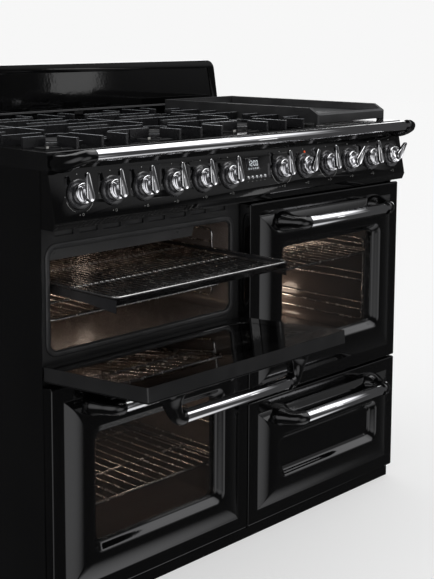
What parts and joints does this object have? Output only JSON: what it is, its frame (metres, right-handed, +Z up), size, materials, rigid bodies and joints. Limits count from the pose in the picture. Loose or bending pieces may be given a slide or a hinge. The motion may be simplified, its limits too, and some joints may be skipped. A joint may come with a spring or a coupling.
{
  "type": "range cooker",
  "caption": "Wide free-standing range cooker with pressed oven doors, a storage drawer, gas hob, griddle plate, towel rail and backsplash.",
  "frame": {"origin": "middle of the base, on the floor", "axes": "+X to the right as seen from the front, +Y to the back, +Z up"},
  "size_m": [1.1, 0.858, 1.036],
  "materials": {
    "black_enamel": "gloss",
    "oven_enamel": "satin",
    "polished_steel": "polished",
    "wire_steel": "satin",
    "zinc_sheet": "satin",
    "black_iron": "matt",
    "burner_alloy": "satin",
    "dark_glass": "gloss",
    "seal_rubber": "matt"
  },
  "bodies": {
    "cooker": {"plinth": "black_enamel", "outer_panels": "black_enamel", "front_frame": "black_enamel", "upper_left_cavity": "oven_enamel", "lower_left_cavity": "oven_enamel", "right_cavity": "oven_enamel", "oven_seals": "seal_rubber", "fan_covers": "oven_enamel", "shelf_runners": "wire_steel", "door_hinges": "wire_steel", "control_panel": "black_enamel", "hob_top": "black_enamel", "burner_bodies": "burner_alloy", "burner_caps": "black_enamel", "backsplash": "black_enamel", "towel_rail": "polished_steel", "towel_rail_ends": "black_enamel", "supply_connections": "zinc_sheet"},
    "upper_left_door_assembly": {"upper_left_door": "black_enamel", "upper_left_door_glass": "dark_glass", "upper_left_door_handle": "polished_steel", "upper_left_door_handle_ends": "polished_steel"},
    "lower_left_door_assembly": {"lower_left_door": "black_enamel", "lower_left_door_glass": "dark_glass", "lower_left_door_handle": "polished_steel", "lower_left_door_handle_ends": "polished_steel"},
    "right_door_assembly": {"right_door": "black_enamel", "right_door_glass": "dark_glass", "right_door_handle": "polished_steel", "right_door_handle_ends": "polished_steel"},
    "storage_drawer": {"drawer_front": "black_enamel", "drawer_box": "zinc_sheet", "drawer_handle": "polished_steel", "drawer_handle_ends": "polished_steel"},
    "grill_tray_assembly": {"grill_tray": "oven_enamel", "tray_grid": "wire_steel"},
    "upper_left_shelf": {"upper_left_rack": "wire_steel"},
    "lower_left_shelf": {"lower_left_rack": "wire_steel"},
    "right_shelf": {"right_rack": "wire_steel"},
    "left_grid": {"left_pan_support": "black_iron"},
    "middle_grid": {"middle_pan_support": "black_iron"},
    "right_grid": {"right_pan_support": "black_iron"},
    "griddle_plate": {"griddle": "black_iron"},
    "control_1": {"knob_1": "polished_steel"},
    "control_2": {"knob_2": "polished_steel"},
    "control_3": {"knob_3": "polished_steel"},
    "control_4": {"knob_4": "polished_steel"},
    "control_5": {"knob_5": "polished_steel"},
    "control_6": {"knob_6": "polished_steel"},
    "control_7": {"knob_7": "polished_steel"},
    "control_8": {"knob_8": "polished_steel"},
    "control_9": {"knob_9": "polished_steel"},
    "control_10": {"knob_10": "polished_steel"},
    "control_11": {"knob_11": "polished_steel"},
    "control_12": {"knob_12": "polished_steel"},
    "push_1": {"button_1": "polished_steel"},
    "push_2": {"button_2": "polished_steel"},
    "push_3": {"button_3": "polished_steel"},
    "push_4": {"button_4": "polished_steel"},
    "push_5": {"button_5": "polished_steel"}
  },
  "joints": [
    {"name": "upper_left_door_hinge", "type": "hinge", "parent": "cooker", "child": "upper_left_door_assembly", "pos_m": [-0.2745, -0.29, 0.482], "axis": [1, 0, 0], "range_deg": [-85.6, 0]},
    {"name": "grill_tray_slide", "type": "slide", "parent": "cooker", "child": "grill_tray_assembly", "axis": [0, -1, 0], "range_m": [-0.1772, 0]},
    {"name": "upper_left_rack_slide", "type": "slide", "parent": "cooker", "child": "upper_left_shelf", "axis": [0, -1, 0], "range_m": [0, 0.18]},
    {"name": "lower_left_door_hinge", "type": "hinge", "parent": "cooker", "child": "lower_left_door_assembly", "pos_m": [-0.2745, -0.29, 0.041], "axis": [1, 0, 0], "range_deg": [0, 82]},
    {"name": "lower_left_rack_slide", "type": "slide", "parent": "cooker", "child": "lower_left_shelf", "axis": [0, -1, 0], "range_m": [0, 0.2005]},
    {"name": "right_door_hinge", "type": "hinge", "parent": "cooker", "child": "right_door_assembly", "pos_m": [0.2745, -0.29, 0.326], "axis": [1, 0, 0], "range_deg": [0, 85.6]},
    {"name": "right_rack_slide", "type": "slide", "parent": "cooker", "child": "right_shelf", "axis": [0, -1, 0], "range_m": [0, 0.1945]},
    {"name": "drawer_slide", "type": "slide", "parent": "cooker", "child": "storage_drawer", "axis": [0, -1, 0], "range_m": [0, 0.28]},
    {"name": "knob_1_turn", "type": "hinge", "parent": "cooker", "child": "control_1", "pos_m": [-0.482, -0.31371, 0.82], "axis": [0, -0.9802, 0.1982], "range_deg": [0, 240]},
    {"name": "knob_2_turn", "type": "hinge", "parent": "cooker", "child": "control_2", "pos_m": [-0.4004, -0.31371, 0.82], "axis": [0, -0.9802, 0.1982], "range_deg": [0, 240]},
    {"name": "knob_3_turn", "type": "hinge", "parent": "cooker", "child": "control_3", "pos_m": [-0.3188, -0.31371, 0.82], "axis": [0, -0.9802, 0.1982], "range_deg": [0, 240]},
    {"name": "knob_4_turn", "type": "hinge", "parent": "cooker", "child": "control_4", "pos_m": [-0.2372, -0.31371, 0.82], "axis": [0, -0.9802, 0.1982], "range_deg": [0, 240]},
    {"name": "knob_5_turn", "type": "hinge", "parent": "cooker", "child": "control_5", "pos_m": [-0.1556, -0.31371, 0.82], "axis": [0, -0.9802, 0.1982], "range_deg": [0, 240]},
    {"name": "knob_6_turn", "type": "hinge", "parent": "cooker", "child": "control_6", "pos_m": [-0.074, -0.31371, 0.82], "axis": [0, -0.9802, 0.1982], "range_deg": [0, 240]},
    {"name": "knob_7_turn", "type": "hinge", "parent": "cooker", "child": "control_7", "pos_m": [0.092, -0.31371, 0.82], "axis": [0, -0.9802, 0.1982], "range_deg": [-270, 0]},
    {"name": "knob_8_turn", "type": "hinge", "parent": "cooker", "child": "control_8", "pos_m": [0.1736, -0.31371, 0.82], "axis": [0, -0.9802, 0.1982], "range_deg": [-240, 30]},
    {"name": "knob_9_turn", "type": "hinge", "parent": "cooker", "child": "control_9", "pos_m": [0.2552, -0.31371, 0.82], "axis": [0, -0.9802, 0.1982], "range_deg": [-270, 0]},
    {"name": "knob_10_turn", "type": "hinge", "parent": "cooker", "child": "control_10", "pos_m": [0.3368, -0.31371, 0.82], "axis": [0, -0.9802, 0.1982], "range_deg": [-225, 45]},
    {"name": "knob_11_turn", "type": "hinge", "parent": "cooker", "child": "control_11", "pos_m": [0.4184, -0.31371, 0.82], "axis": [0, -0.9802, 0.1982], "range_deg": [-270, 0]},
    {"name": "knob_12_turn", "type": "hinge", "parent": "cooker", "child": "control_12", "pos_m": [0.5, -0.31371, 0.82], "axis": [0, -0.9802, 0.1982], "range_deg": [-220, 50]},
    {"name": "button_1_press", "type": "slide", "parent": "cooker", "child": "push_1", "axis": [0, 0.9802, -0.1982], "range_m": [0, 0.0015], "stiffness_N_per_m": 300, "springref_m": -0.001},
    {"name": "button_2_press", "type": "slide", "parent": "cooker", "child": "push_2", "axis": [0, 0.9802, -0.1982], "range_m": [0, 0.0015], "stiffness_N_per_m": 300, "springref_m": -0.001},
    {"name": "button_3_press", "type": "slide", "parent": "cooker", "child": "push_3", "axis": [0, 0.9802, -0.1982], "range_m": [0, 0.0015], "stiffness_N_per_m": 300, "springref_m": -0.001},
    {"name": "button_4_press", "type": "slide", "parent": "cooker", "child": "push_4", "axis": [0, 0.9802, -0.1982], "range_m": [0, 0.0015], "stiffness_N_per_m": 300, "springref_m": -0.001},
    {"name": "button_5_press", "type": "slide", "parent": "cooker", "child": "push_5", "axis": [0, 0.9802, -0.1982], "range_m": [0, 0.0015], "stiffness_N_per_m": 300, "springref_m": -0.001},
    {"name": "left_grid_lift", "type": "slide", "parent": "cooker", "child": "left_grid", "axis": [0, 0, 1], "range_m": [0, 0.06]},
    {"name": "middle_grid_lift", "type": "slide", "parent": "cooker", "child": "middle_grid", "axis": [0, 0, 1], "range_m": [0, 0.06]},
    {"name": "right_grid_lift", "type": "slide", "parent": "cooker", "child": "right_grid", "axis": [0, 0, 1], "range_m": [0, 0.06]},
    {"name": "griddle_lift", "type": "slide", "parent": "cooker", "child": "griddle_plate", "axis": [0, 0, 1], "range_m": [0, 0.06]}
  ],
  "couplings": [
    {"joint": "grill_tray_slide", "follows": "upper_left_door_hinge", "m_per_rad": 0.1185},
    {"joint": "lower_left_rack_slide", "follows": "lower_left_door_hinge", "m_per_rad": 0.14},
    {"joint": "right_rack_slide", "follows": "right_door_hinge", "m_per_rad": 0.13}
  ]
}
